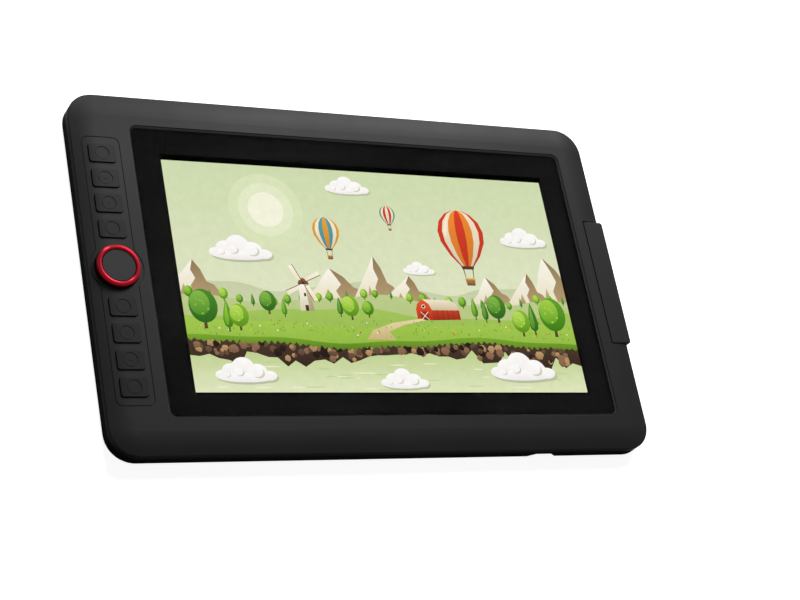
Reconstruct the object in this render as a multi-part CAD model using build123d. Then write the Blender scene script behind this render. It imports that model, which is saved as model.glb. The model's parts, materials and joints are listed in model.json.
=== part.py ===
"""A graphics tablet with a built-in screen, lying flat on its rubber feet.

Millimetres. +X runs to the right along the long side, +Y towards the top of the picture, +Z out of the
screen. Everything is drawn about the middle of the body's outline, with the feet standing on Z = 0, and
is moved sideways at the end so that the origin is the bottom centre of the box around the whole part.
"""

from math import cos, pi, sin, sqrt
import os

from build123d import *

# Picture: a 13.3-inch panel, 16 to 9. The three borders below lie around it, one outside another
picture_width = 293.76
picture_depth = 165.24

# Black edge of the display that shows around the picture
edge_left = 0.22
edge_right = 1.42
edge_top = 4.28
edge_bottom = 1.28

# Printed border under the glass, as far as the lip of the frame
mask_left = 18.9
mask_right = 17.3
mask_top = 17.8
mask_bottom = 15.4

# Face of the frame, from the lip to the side of the body
border_left = 41.7
border_right = 23.9
border_top = 23.4
border_bottom = 26.0

# Body: one crowned moulding over a tray, both with the same rounded outline
body_thick = 14.0
foot_height = 1.0
crown_inset = 16.0
crown_fall = 2.0
corner_core = 3.0
edge_round = 1.0
frame_wall = 2.2
frame_roof = 1.8
floor_thick = 1.6
cover_height = 7.6
cover_round = 0.8
parting_gap = 0.3
step_wall = 1.0
step_height = 1.6
seat_gap = 0.1
fit_gap = 0.3
overrun = 5.0

# Window around the screen
window_round = 4.4
lip_draft = 1.2

# Screen stack, from the glass down
glass_overlap = 2.8
glass_thick = 1.0
glass_gap = 0.2
mask_thick = 0.15
mask_inset = 0.4
cell_margin = 5.0
cell_thick = 1.0
light_margin = 2.5
light_thick = 2.0
light_bar_depth = 4.0
light_bar_drop = 1.2
sensor_margin = 7.0
sensor_thick = 0.5
rib_wall = 1.3
chassis_thick = 0.6
chassis_round = 6.0
bead_width = 8.0
bead_height = 0.6
bead_length_share = 0.62
bead_x_share = -0.146
bead_y_share = 0.23
ear_radius = 4.2
ear_reach = 4.0
ear_x_shares = (-0.31, 0.0, 0.31)

# Key strip on the left border
strip_width = 25.3
strip_middle_inset = 19.35
strip_top_inset = 33.0
strip_bottom_inset = 32.6
strip_round = 4.5
strip_circle_radius = 17.5
strip_neck_round = 1.5
groove_width = 0.55
groove_depth = 0.45

# Keys
key_width = 17.9
key_round = 2.0
key_edge_round = 0.25
key_rise = 0.9
key_travel = 0.6
first_key_gap = 20.7
key_spacing = 5.03
last_key_gap = 5.71
keys_per_side = 4
key_flange_reach = 1.2
key_flange_thick = 1.0
key_post_radius = 2.4
key_post_length = 0.5
dimple_margin = 1.75
dimple_depth = 0.15
dimple_line_width = 0.4
dimple_line_depth = 0.4
mark_bar_length = 3.2
mark_bar_width = 1.0
mark_dot_radius = 0.45
mark_rise = 0.18
normal_share = 0.9
switch_slack = 0.1
switch_size = 4.6
switch_height = 1.1
switch_plunger_radius = 1.2
switch_plunger_height = 0.4

# Board under the keys and the dial
key_board_side = 2.5
key_board_end = 8.1
key_board_offset = 2.2
key_board_round = 2.0
key_board_thick = 1.0
key_boss_radius = 2.3
key_boss_inset = 2.9
key_boss_shares = (-0.475, -0.145, 0.145, 0.475)

# Dial: a metal ring on a carrier that turns on a fixed hub, round a press button
dial_radius = 14.6
dial_inner_radius = 11.35
dial_rise = 4.4
dial_gap = 0.4
dial_crest_radius = 12.9
dial_inner_drop = 1.0
dial_shoulder = 1.5
ring_depth = 2.0
carrier_flange_reach = 1.0
carrier_flange_thick = 0.9
running_gap = 0.05
hub_radius = 7.0
hub_flange_radius = 9.0
hub_rise = 0.8
hub_clear = 0.2
encoder_outer_radius = 14.9
encoder_inner_radius = 9.6
encoder_thick = 0.4
encoder_slots = 24
encoder_slot_width = 0.9
encoder_slot_length = 3.2
encoder_rim = 0.9
sensor_length = 5.0
sensor_width = 3.6
sensor_gap = 0.3
button_gap = 0.3
button_drop = 1.1
button_thick = 1.3
button_edge_round = 0.3
button_travel = 0.5
stem_radius = 4.2
clip_reach = 1.0
clip_thick = 0.5
clip_groove = 0.6
clip_gap = 0.2
stem_tail = 0.3
chamber_wall = 0.4
dial_switch_size = 4.4
dial_switch_height = 0.77

# Plug housing docked in the right-hand edge
dock_inset = 14.2
dock_y = 1.2
dock_wall = 1.9
housing_length = 96.6
housing_out = 2.9
housing_side_gap = 1.0
housing_end_gap = 0.5
housing_top_drop = 0.2
housing_round = 2.2
housing_edge_round = 0.9
housing_split_share = 0.36
housing_groove = 0.3
housing_wall = 1.6
housing_bottom_gap = 0.2

# Connector pair, whose middle lies this drop below the main board
plug_width = 8.34
plug_height = 2.56
plug_length = 6.4
plug_wall = 0.3
plug_round = 1.2
plug_root = 8.0
socket_width = 8.94
socket_height = 3.26
socket_round = 1.5
socket_length = 7.2
socket_back = 0.7
socket_recess = 0.3
socket_gap = 0.1
socket_drop = 0.4
tongue_width = 6.69
tongue_height = 0.7
tongue_short = 1.2

# Main board under the chassis
board_width = 61.2
board_right_inset = 16.9
board_bottom_inset = 68.0
board_top_inset = 36.0
board_thick = 1.0
board_standoff = 0.5
board_slot_gap = 0.3
board_boss_radius = 2.6
board_boss_inset = 5.0
shield_width = 34.0
shield_depth = 26.0
shield_height = 1.3
shield_wall = 0.2
shield_y_share = 0.22
chip_height = 0.9
chip_sizes = (14.0, 9.0, 7.0, 5.0, 5.0)
chip_x_shares = (0.3, 0.7, 0.2, 0.62, 0.8)
chip_y_shares = (0.55, 0.68, 0.75, 0.84, 0.07)

# Power button on the right-hand edge
power_inset = 44.0
power_length = 12.0
power_height = 1.8
power_out = 0.3
power_travel = 0.5
power_gap = 0.3
power_lower = 0.5
power_flange_reach = 0.8
power_flange_thick = 1.0
power_stem_radius = 0.9
power_switch_width = 6.0
power_switch_depth = 2.4
power_switch_nub = 0.6
power_switch_nub_radius = 0.8

# Flat cables
flex_thick = 0.2
key_flex_width = 12.0
key_flex_overlap = 9.0
panel_flex_width = 22.0
panel_flex_in = 28.0
panel_flex_out = 1.2
panel_flex_run = 46.0
panel_flex_slot_gap = 0.6

# Feet, scoop and fasteners of the back
foot_length = 46.0
foot_width = 9.0
foot_sink = 0.6
foot_inset_x = 44.0
foot_inset_y = 17.0
foot_edge_round = 0.3
scoop_inset = 86.0
scoop_width = 23.6
scoop_top_share = 0.5
scoop_height = 5.0
scoop_depth = 4.5
scoop_wall = 1.2
post_radius = 3.4
post_inset = 11.0
post_mid_share = 0.19
screw_head_radius = 2.3
screw_head_height = 1.3
screw_head_sink = 0.4
screw_radius = 1.2
screw_length = 7.4
screw_gap = 0.1
small_head_radius = 1.6
small_head_height = 0.6
small_screw_radius = 0.8
small_screw_length = 2.4
cover_rib_wall = 1.2
cover_rib_height = 1.6
cover_rib_margin = 6.0
cover_rib_shares = (-0.36, -0.18, 0.0, 0.18)

# Outlines and places that follow from the picture
mask_open_width = picture_width + edge_left + edge_right
mask_open_depth = picture_depth + edge_top + edge_bottom
window_width = mask_open_width + mask_left + mask_right
window_depth = mask_open_depth + mask_top + mask_bottom
body_width = window_width + border_left + border_right
body_depth = window_depth + border_top + border_bottom
window_x = (border_left - border_right) / 2
window_y = (border_bottom - border_top) / 2
mask_open_x = window_x + (mask_left - mask_right) / 2
mask_open_y = window_y + (mask_bottom - mask_top) / 2
picture_x = mask_open_x + (edge_left - edge_right) / 2
picture_y = mask_open_y + (edge_bottom - edge_top) / 2
right_wall = body_width / 2
upper_wall = body_depth / 2
lower_wall = -body_depth / 2
strip_x = strip_middle_inset - right_wall
strip_y = (strip_bottom_inset - strip_top_inset) / 2
strip_length = body_depth - strip_top_inset - strip_bottom_inset
key_room = strip_length / 2 - first_key_gap - last_key_gap + key_spacing
key_pitch = key_room / keys_per_side
key_depth = key_pitch - key_spacing
first_key_offset = first_key_gap + key_depth / 2
dimple_radius = key_depth / 2 - dimple_margin
key_board_width = strip_width + key_board_side
key_board_length = strip_length + 2 * key_board_end
dock_x = right_wall - dock_inset
board_left = right_wall - board_right_inset - board_width
board_bottom = lower_wall + board_bottom_inset
board_depth = body_depth - board_bottom_inset - board_top_inset
power_y = upper_wall - power_inset
panel_flex_x = board_left + panel_flex_in
scoop_x = right_wall - scoop_inset

# Heights that follow from the stack
corner_radius = crown_inset + corner_core
cover_bottom = foot_height
floor_top = cover_bottom + floor_thick
split_z = cover_bottom + cover_height
frame_bottom = split_z + parting_gap
face_z = cover_bottom + body_thick
roof_z = face_z - frame_roof
glass_z = roof_z - glass_thick
cell_top = glass_z - glass_gap
light_top = cell_top - cell_thick
sensor_top = light_top - light_thick
chassis_top = sensor_top - sensor_thick
chassis_z = chassis_top - chassis_thick
board_top = chassis_z - board_standoff
board_z = board_top - board_thick
crown_radius = (crown_inset**2 + crown_fall**2) / (2 * crown_fall)
glass_width = window_width + 2 * glass_overlap
glass_depth = window_depth + 2 * glass_overlap
well_width = glass_width + 2 * fit_gap
well_depth = glass_depth + 2 * fit_gap
well_round = window_round + glass_overlap + fit_gap


def crown_drop(from_wall):
    """How far the face has fallen below its flat middle, at this distance in from the side wall."""
    run = max(crown_inset - from_wall, 0)
    return crown_radius - sqrt(crown_radius**2 - run**2)


# Heights under the keys and the dial
key_left_from_wall = strip_x - key_width / 2 - key_flange_reach + right_wall
key_flange_top = roof_z - crown_drop(key_left_from_wall) - fit_gap
key_flange_bottom = key_flange_top - key_flange_thick
key_post_bottom = key_flange_bottom - key_post_length
switch_top = key_post_bottom - key_travel - switch_slack
key_board_top = switch_top - switch_height - switch_plunger_height
key_board_z = key_board_top - key_board_thick
key_board_x = strip_x + key_board_offset
dial_z = face_z + dial_rise
carrier_radius = dial_radius + carrier_flange_reach
carrier_left_from_wall = strip_x - carrier_radius + right_wall
carrier_flange_top = roof_z - crown_drop(carrier_left_from_wall) - fit_gap
carrier_bottom = carrier_flange_top - carrier_flange_thick
ring_bottom = face_z - ring_depth
hub_top = ring_bottom + hub_rise
encoder_bottom = carrier_bottom - encoder_thick
button_top = dial_z - button_drop
button_bottom = button_top - button_thick
dial_switch_top = key_board_top + dial_switch_height
stem_bottom = dial_switch_top + button_travel + switch_slack
clip_bottom = stem_bottom + stem_tail
chamber_top = clip_bottom + clip_thick + clip_gap

# Plug and its housing
housing_left = dock_x + housing_side_gap
housing_right = right_wall + housing_out
housing_top = face_z - housing_top_drop
housing_bottom = cover_bottom + housing_bottom_gap
housing_split = housing_bottom + (housing_top - housing_bottom) * housing_split_share
socket_z = board_z - socket_drop
socket_mouth = dock_x - socket_recess
power_z = (frame_bottom + face_z - crown_fall) / 2 - power_lower
power_flange_right = right_wall - frame_wall - fit_gap
power_flange_left = power_flange_right - power_flange_thick


def slab(width, depth, radius, bottom, top, x=0, y=0):
    """A flat piece with rounded corners, between two heights."""
    outline = RectangleRounded(width, depth, radius) if radius else Rectangle(width, depth)
    return extrude(Pos(x, y, bottom) * outline, top - bottom)


def block(x_range, y_range, z_range):
    """A plain box between three pairs of faces."""
    low = (x_range[0], y_range[0], z_range[0])
    size = (x_range[1] - low[0], y_range[1] - low[1], z_range[1] - low[2])
    return Pos(*low) * Box(*size, align=(Align.MIN, Align.MIN, Align.MIN))


def rod(radius, bottom, top, x=0, y=0):
    """An upright round piece."""
    return extrude(Pos(x, y, bottom) * Circle(radius), top - bottom)


def side_rod(outline, x_from, x_to, y, z):
    """A piece with this outline, drawn across Y and Z, that runs along X."""
    return extrude(Plane((x_from, y, z), x_dir=(0, 1, 0), z_dir=(1, 0, 0)) * outline, x_to - x_from)


def crowned_form(inset, bottom, top, edge=0):
    """The outer form drawn in by an even inset: flat in the middle, falling in an arc to its sides."""
    width = body_width - 2 * inset
    depth = body_depth - 2 * inset
    wall_x = -width / 2
    flat_x = crown_inset - body_width / 2
    middle_x = (wall_x + flat_x) / 2
    wall_z = top - crown_drop(inset)
    middle_z = top - crown_drop((inset + crown_inset) / 2)
    arc = ThreePointArc((flat_x, top), (middle_x, middle_z), (wall_x, wall_z))
    sides = Polyline((wall_x, wall_z), (wall_x, bottom), (flat_x, bottom), (flat_x, top))
    section = make_face(arc + sides)
    if edge:
        corner = section.vertices().sort_by_distance((wall_x, wall_z))[0]
        section = fillet(corner, edge)
    corners = ((wall_x, 0), (wall_x, depth / 2), (-wall_x, depth / 2), (-wall_x, 0))
    path = FilletPolyline(*corners, radius=corner_radius - inset)
    half = sweep(Plane.XZ * section, path=Pos(0, 0, bottom) * path)
    band = half + mirror(half, Plane.XZ)
    middle = slab(body_width - 2 * crown_inset, body_depth - 2 * crown_inset, corner_core, bottom, top)
    return band + middle


def post_places():
    """The eight fastening posts around the edge: one in each corner, two along each long side."""
    corner_x = body_width / 2 - post_inset
    edge_y = body_depth / 2 - post_inset
    places = []
    for x in (-corner_x, -body_width * post_mid_share, body_width * post_mid_share, corner_x):
        places.append((x, edge_y))
        places.append((x, -edge_y))
    return places


def ear_places():
    """The screw ears of the chassis, above and below the screen."""
    reach = well_depth / 2 + rib_wall + ear_reach
    places = []
    for share in ear_x_shares:
        places.append((window_x + share * well_width, window_y + reach))
        places.append((window_x + share * well_width, window_y - reach))
    return places


def key_boss_places():
    """The screws of the board under the keys, down its right-hand side."""
    x = key_board_x + key_board_width / 2 - key_boss_inset
    return [(x, strip_y + share * key_board_length) for share in key_boss_shares]


def board_boss_places():
    """The four screws of the main board."""
    left = board_left + board_boss_inset
    right = board_left + board_width - 2 * board_boss_inset
    low = board_bottom + board_boss_inset
    high = board_bottom + board_depth - board_boss_inset
    return [(left, low), (left, high), (right, low), (right, high)]


def key_places():
    """The middle of each key, from the top of the strip down."""
    offsets = [first_key_offset + index * key_pitch for index in range(keys_per_side)]
    upper = [strip_y + offset for offset in reversed(offsets)]
    lower = [strip_y - offset for offset in offsets]
    return upper + lower


def dock_box(wall, bottom, top):
    """The space of the dock, grown by a wall on its three closed sides."""
    half = housing_length / 2 + housing_end_gap + wall
    return block((dock_x - wall, right_wall + overrun), (dock_y - half, dock_y + half), (bottom, top))


def strip_outline():
    """The outline engraved around the keys: a long rounded rectangle that bulges round the dial."""
    shape = RectangleRounded(strip_width, strip_length, strip_round) + Circle(strip_circle_radius)
    necks = shape.vertices().sort_by_distance((0, 0))[:4]
    return fillet(necks, strip_neck_round)


def groove_cutter():
    """The engraved line, cut to one depth below the crowned face."""
    outline = strip_outline()
    line = offset(outline, groove_width / 2) - offset(outline, -groove_width / 2)
    band = extrude(Pos(strip_x, strip_y, roof_z) * line, frame_roof + overrun)
    kept = Pos(0, 0, -groove_depth) * crowned_form(0, frame_bottom, face_z)
    return band - kept


def window_cutter():
    """The window, wider at the face than at the glass."""
    lower = Pos(window_x, window_y, roof_z) * RectangleRounded(window_width, window_depth, window_round)
    upper_size = (window_width + 2 * lip_draft, window_depth + 2 * lip_draft)
    upper = Pos(window_x, window_y, face_z) * RectangleRounded(*upper_size, window_round + lip_draft)
    return loft([lower, upper], ruled=True)


def power_outline(grow):
    """The outline of the power button, grown by a clearance or a flange."""
    height = power_height + 2 * grow
    return SlotOverall(power_length + 2 * grow, height)


def front_frame():
    """The crowned moulding that frames the screen and carries the keys, the dial and the dock."""
    frame = crowned_form(0, frame_bottom, face_z, edge_round)
    inside = crowned_form(frame_wall, frame_bottom - overrun, roof_z)
    dock_walls = dock_box(dock_wall, frame_bottom, face_z) & crowned_form(step_wall, frame_bottom, roof_z)
    frame = frame - inside + dock_walls
    rib_size = (well_width + 2 * rib_wall, well_depth + 2 * rib_wall)
    rib = slab(*rib_size, well_round + rib_wall, chassis_top, roof_z, window_x, window_y)
    rib -= slab(well_width, well_depth, well_round, chassis_top, roof_z, window_x, window_y)
    frame += rib
    hung = crowned_form(step_wall, cover_bottom, face_z)
    for x, y in post_places():
        frame += rod(post_radius, split_z - step_height, face_z - frame_roof / 2, x, y) & hung
    for x, y in ear_places():
        frame += rod(post_radius - screw_gap, chassis_top, face_z - frame_roof / 2, x, y)
    for x, y in key_boss_places():
        frame += rod(key_boss_radius, key_board_top, face_z - frame_roof / 2, x, y)
    step = (body_width - 2 * step_wall, body_depth - 2 * step_wall, corner_radius - step_wall)
    tray = (body_width - 2 * frame_wall, body_depth - 2 * frame_wall, corner_radius - frame_wall)
    rebate = slab(*step, frame_bottom - overrun, frame_bottom + step_height)
    rebate -= slab(*tray, frame_bottom - overrun, frame_bottom + step_height)
    rebate -= dock_box(dock_wall, frame_bottom - overrun, face_z)
    frame -= rebate
    frame -= window_cutter()
    frame -= dock_box(0, cover_bottom, face_z + overrun)
    frame -= groove_cutter()
    key_hole = (key_width + 2 * fit_gap, key_depth + 2 * fit_gap, key_round + fit_gap)
    for y in key_places():
        frame -= slab(*key_hole, key_flange_top, face_z + overrun, strip_x, y)
    frame -= rod(dial_radius + dial_gap, carrier_flange_top, face_z + overrun, strip_x, strip_y)
    opening = power_outline(power_gap)
    frame -= side_rod(opening, right_wall - frame_wall - fit_gap, right_wall + overrun, power_y, power_z)
    pocket = power_outline(power_flange_reach + power_gap)
    pocket_left = power_flange_left - power_travel - power_gap
    frame -= side_rod(pocket, pocket_left, right_wall - frame_wall, power_y, power_z)
    for x, y in post_places():
        frame -= rod(screw_radius + screw_gap, cover_bottom, roof_z - crown_fall, x, y)
    for x, y in ear_places():
        frame -= rod(small_screw_radius + screw_gap, chassis_z, chassis_top + small_screw_length, x, y)
    for x, y in key_boss_places():
        frame -= rod(small_screw_radius + screw_gap, key_board_z, key_board_top + small_screw_length, x, y)
    return frame


def scoop_form(grow):
    """The finger scoop in the lower edge of the back, with sloping ends, grown by a wall."""
    low = scoop_width / 2 + grow
    high = low * scoop_top_share + grow
    bottom = cover_bottom - (0 if grow else overrun)
    points = ((-low, bottom), (-low, cover_bottom), (-high, cover_bottom + scoop_height + grow))
    mirrored = [(-x, z) for x, z in reversed(points)]
    section = make_face(Polyline(*points, *mirrored, points[0])) if not grow else None
    if grow:
        section = make_face(Polyline(*points[1:], *mirrored[:-1], points[1]))
    start = lower_wall - (0 if grow else overrun)
    face = Plane((scoop_x, start, 0), x_dir=(1, 0, 0), z_dir=(0, -1, 0)) * section
    return extrude(face, -(lower_wall + scoop_depth + grow - start))


def foot_places():
    """The four rubber feet, near the corners."""
    x = body_width / 2 - foot_inset_x
    y = body_depth / 2 - foot_inset_y
    return [(-x, y), (x, y), (-x, -y), (x, -y)]


def back_cover():
    """The tray under everything, with its posts, ribs, feet pockets, scoop and dock."""
    tray = slab(body_width, body_depth, corner_radius, cover_bottom, split_z)
    tray = fillet(tray.edges().group_by(Axis.Z)[0], cover_round)
    cavity_size = (body_width - 2 * frame_wall, body_depth - 2 * frame_wall, corner_radius - frame_wall)
    cavity = slab(*cavity_size, floor_top, split_z + overrun)
    cover = tray - cavity
    lip = (body_width - 2 * step_wall - 2 * seat_gap, body_depth - 2 * step_wall - 2 * seat_gap)
    lip_top = frame_bottom + step_height
    tongue = slab(*lip, corner_radius - step_wall - seat_gap, split_z, lip_top)
    tongue -= slab(*cavity_size, split_z, lip_top)
    tongue -= dock_box(dock_wall + fit_gap, split_z, lip_top)
    tongue -= block(
        (right_wall - 2 * frame_wall, right_wall),
        (power_y - power_length, power_y + power_length),
        (split_z, lip_top),
    )
    cover += tongue
    cover += dock_box(dock_wall, cover_bottom, split_z) & tray
    rib_left = -body_width / 2 + frame_wall
    for share in cover_rib_shares:
        x = share * body_width
        y_range = (lower_wall + frame_wall, -lower_wall - frame_wall)
        x_range = (x - cover_rib_wall / 2, x + cover_rib_wall / 2)
        cover += block(x_range, y_range, (floor_top, floor_top + cover_rib_height))
    for side in (-1, 1):
        y = side * body_depth / 4
        y_range = (y - cover_rib_wall / 2, y + cover_rib_wall / 2)
        x_range = (rib_left, board_left - cover_rib_margin)
        cover += block(x_range, y_range, (floor_top, floor_top + cover_rib_height))
    post_top = split_z - step_height
    for x, y in post_places():
        cover += rod(post_radius, cover_bottom, post_top, x, y) & tray
    cover += scoop_form(scoop_wall) & tray
    cover -= scoop_form(0)
    cover -= dock_box(0, cover_bottom - overrun, split_z + overrun)
    hole = RectangleRounded(socket_width + 2 * socket_gap, socket_height + 2 * socket_gap, socket_round)
    cover -= side_rod(hole, dock_x - dock_wall - overrun, dock_x + overrun, dock_y, socket_z)
    head_top = cover_bottom + screw_head_sink + screw_head_height
    for x, y in post_places():
        cover -= rod(screw_head_radius + screw_gap, cover_bottom - overrun, head_top, x, y)
        cover -= rod(screw_radius + screw_gap, cover_bottom, post_top + overrun, x, y)
    pocket = (foot_length + 2 * seat_gap, foot_width + 2 * seat_gap, foot_width / 2)
    for x, y in foot_places():
        cover -= slab(*pocket, cover_bottom - overrun, cover_bottom + foot_sink, x, y)
    return cover


def screen_glass():
    """The cover glass, held up against the underside of the frame."""
    radius = window_round + glass_overlap
    return slab(glass_width, glass_depth, radius, glass_z, roof_z, window_x, window_y)


def screen_mask():
    """The printed border under the glass, with the opening that the picture shows through."""
    width = glass_width - 2 * mask_inset
    depth = glass_depth - 2 * mask_inset
    top = cell_top + mask_thick
    mask = slab(width, depth, window_round + glass_overlap - mask_inset, cell_top, top, window_x, window_y)
    return mask - slab(mask_open_width, mask_open_depth, 0, cell_top, top, mask_open_x, mask_open_y)


def lcd_panel():
    """The display cell."""
    size = (picture_width + 2 * cell_margin, picture_depth + 2 * cell_margin)
    return slab(*size, 0, light_top, cell_top, picture_x, picture_y)


def backlight_unit():
    """The light guide and its frame, with the thicker lamp bar along its lower edge."""
    width = picture_width + 2 * cell_margin + 2 * light_margin
    depth = picture_depth + 2 * cell_margin + 2 * light_margin
    unit = slab(width, depth, 0, sensor_top, light_top, picture_x, picture_y)
    low = picture_y - depth / 2
    notch_y = (low, low + light_bar_depth)
    for side in (-1, 1):
        middle = picture_x + side * width / 2
        x_range = (middle - light_bar_depth, middle + light_bar_depth)
        unit -= block(x_range, notch_y, (sensor_top, light_top))
    return unit


def digitizer_board():
    """The pen-sensing board behind the backlight."""
    size = (picture_width + 2 * sensor_margin, picture_depth + 2 * sensor_margin)
    return slab(*size, 0, chassis_top, sensor_top, picture_x, picture_y)


def chassis_plate():
    """The sheet-metal plate that closes the screen well and carries the main board."""
    width = well_width + 2 * rib_wall
    depth = well_depth + 2 * rib_wall
    plate = slab(width, depth, chassis_round, chassis_z, chassis_top, window_x, window_y)
    for x, y in ear_places():
        inward = window_y - y
        neck = inward * (ear_reach + rib_wall) / abs(inward)
        y_range = (min(y, y + neck), max(y, y + neck))
        plate += rod(ear_radius, chassis_z, chassis_top, x, y)
        plate += block((x - ear_radius, x + ear_radius), y_range, (chassis_z, chassis_top))
    bead_length = bead_length_share * well_width
    bead_x = window_x + bead_x_share * well_width
    for side in (-1, 1):
        place = Pos(bead_x, side * bead_y_share * well_depth, chassis_z)
        inner = SlotOverall(bead_length - 2 * chassis_thick, bead_width - 2 * chassis_thick)
        plate += extrude(place * SlotOverall(bead_length, bead_width), -bead_height)
        plate -= extrude(place * inner, chassis_thick)
    for x, y in board_boss_places():
        plate += rod(board_boss_radius, board_top, chassis_z, x, y)
    slot_y = panel_flex_edge()
    slot_x = (panel_flex_x - panel_flex_width / 2 - fit_gap, panel_flex_x + panel_flex_width / 2 + fit_gap)
    slot = (slot_y - panel_flex_slot_gap, slot_y + flex_thick + panel_flex_slot_gap)
    plate -= block(slot_x, slot, (chassis_z, chassis_top))
    for x, y in ear_places():
        plate -= rod(small_screw_radius + screw_gap, chassis_z, chassis_top, x, y)
    for x, y in board_boss_places():
        plate -= rod(small_screw_radius + screw_gap, board_top, chassis_top, x, y)
    return plate


def panel_flex_edge():
    """The place in Y where the display's flat cable turns down, below the lamp bar."""
    return picture_y - picture_depth / 2 - cell_margin - light_margin - panel_flex_out


def panel_flex():
    """The flat cable of the display: down through the chassis and back along its underside."""
    bend = panel_flex_edge()
    tab_z = light_top - light_bar_drop
    low = chassis_z - switch_slack
    x_range = (panel_flex_x - panel_flex_width / 2, panel_flex_x + panel_flex_width / 2)
    tab = block(x_range, (bend, bend + panel_flex_out), (tab_z - flex_thick, tab_z))
    drop = block(x_range, (bend, bend + flex_thick), (low - flex_thick, tab_z))
    run = block(x_range, (bend, bend + panel_flex_run), (low - flex_thick, low))
    return tab + drop + run


def key_flex():
    """The flat cable from the board under the keys, along the chassis, to the main board."""
    left = key_board_x + key_board_width / 2 - key_flex_overlap
    right = board_left + key_flex_overlap
    top = min(key_board_z, chassis_z - switch_slack)
    y_range = (strip_y - key_flex_width / 2, strip_y + key_flex_width / 2)
    return block((left, right), y_range, (top - flex_thick, top))


def main_board():
    """The main circuit board, cut out round the socket."""
    y_range = (board_bottom, board_bottom + board_depth)
    board = block((board_left, board_left + board_width), y_range, (board_z, board_top))
    half = socket_width / 2 + board_slot_gap
    slot_x = (socket_mouth - socket_length - board_slot_gap, right_wall)
    board -= block(slot_x, (dock_y - half, dock_y + half), (board_z, board_top))
    for x, y in board_boss_places():
        board -= rod(small_screw_radius + screw_gap, board_z, board_top, x, y)
    return board


def board_shield():
    """The folded metal can over the processor, open towards the board."""
    x = board_left + board_width / 2
    y = board_bottom + board_depth * shield_y_share
    can = slab(shield_width, shield_depth, 0, board_z - shield_height, board_z, x, y)
    room = (shield_width - 2 * shield_wall, shield_depth - 2 * shield_wall)
    return can - slab(*room, 0, board_z - shield_height + shield_wall, board_z, x, y)


def board_chips():
    """Chips and coils on the underside of the main board."""
    chips = []
    for size, x_share, y_share in zip(chip_sizes, chip_x_shares, chip_y_shares):
        x = board_left + board_width * x_share
        y = board_bottom + board_depth * y_share
        chips.append(slab(size, size, 0, board_z - chip_height, board_z, x, y))
    return Compound(chips)


def usb_socket():
    """The socket in the wall of the dock: a drawn shell, a back and a tongue."""
    back = socket_mouth - socket_length
    outer = RectangleRounded(socket_width, socket_height, socket_round)
    bore = RectangleRounded(plug_width + 2 * running_gap, plug_height + 2 * running_gap, plug_round)
    shell = side_rod(outer, back, socket_mouth, dock_y, socket_z)
    shell -= side_rod(bore, back + socket_back, socket_mouth, dock_y, socket_z)
    tongue = Rectangle(tongue_width, tongue_height)
    return shell + side_rod(tongue, back, socket_mouth - tongue_short, dock_y, socket_z)


def plug_connector():
    """The plug's drawn metal shell, hollow for the tongue."""
    outer = RectangleRounded(plug_width, plug_height, plug_round)
    bore = (plug_width - 2 * plug_wall, plug_height - 2 * plug_wall)
    inner = RectangleRounded(*bore, plug_round - plug_wall)
    start = housing_left - plug_length
    end = housing_left + plug_root
    shell = side_rod(outer, start, end, dock_y, socket_z)
    return shell - side_rod(inner, start, housing_left, dock_y, socket_z)


def housing_blank():
    """The plug housing as one closed form: flat-topped, round-edged, proud of the body's side."""
    width = housing_right - housing_left
    x = (housing_left + housing_right) / 2
    blank = slab(width, housing_length, 0, housing_bottom, housing_top, x, dock_y)
    outer_corners = blank.edges().filter_by(Axis.Z).group_by(Axis.X)[-1]
    blank = fillet(outer_corners, housing_round)
    outer_rims = blank.edges().filter_by(Axis.Z, reverse=True)
    outer_rims = [edge for edge in outer_rims if edge.center().X > x - width / 4]
    return fillet(outer_rims, housing_edge_round)


def housing_cut():
    """The seat of the connector in the housing."""
    outline = RectangleRounded(plug_width + 2 * running_gap, plug_height + 2 * running_gap, plug_round)
    return side_rod(outline, housing_left, housing_left + plug_root, dock_y, socket_z)


def plug_cover():
    """The upper shell of the plug housing."""
    upper = block(
        (housing_left - overrun, housing_right + overrun),
        (dock_y - housing_length, dock_y + housing_length),
        (housing_split + housing_groove / 2, housing_top + overrun),
    )
    return (housing_blank() & upper) - housing_cut()


def plug_base():
    """The lower shell of the plug housing, with the spigot that locates the upper one."""
    lower = block(
        (housing_left - overrun, housing_right + overrun),
        (dock_y - housing_length, dock_y + housing_length),
        (housing_bottom - overrun, housing_split - housing_groove / 2),
    )
    base = housing_blank() & lower
    width = housing_right - housing_left - 2 * housing_wall
    x = (housing_left + housing_right) / 2
    depth = housing_length - 2 * housing_wall
    base += slab(
        width,
        depth,
        housing_round / 2,
        housing_split - housing_groove,
        housing_split + housing_groove / 2,
        x,
        dock_y,
    )
    return base - housing_cut()


def key_board():
    """The circuit board under the keys and the dial."""
    board = slab(key_board_width, key_board_length, key_board_round, key_board_z, key_board_top)
    board = Pos(key_board_x, strip_y, 0) * board
    for x, y in key_boss_places():
        board -= rod(small_screw_radius + screw_gap, key_board_z, key_board_top, x, y)
    return board


def key_switch(y):
    """The switch that a key presses."""
    top = key_board_top + switch_height
    body = slab(switch_size, switch_size, 0, key_board_top, top, strip_x, y)
    return body + rod(switch_plunger_radius, top, switch_top, strip_x, y)


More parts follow.
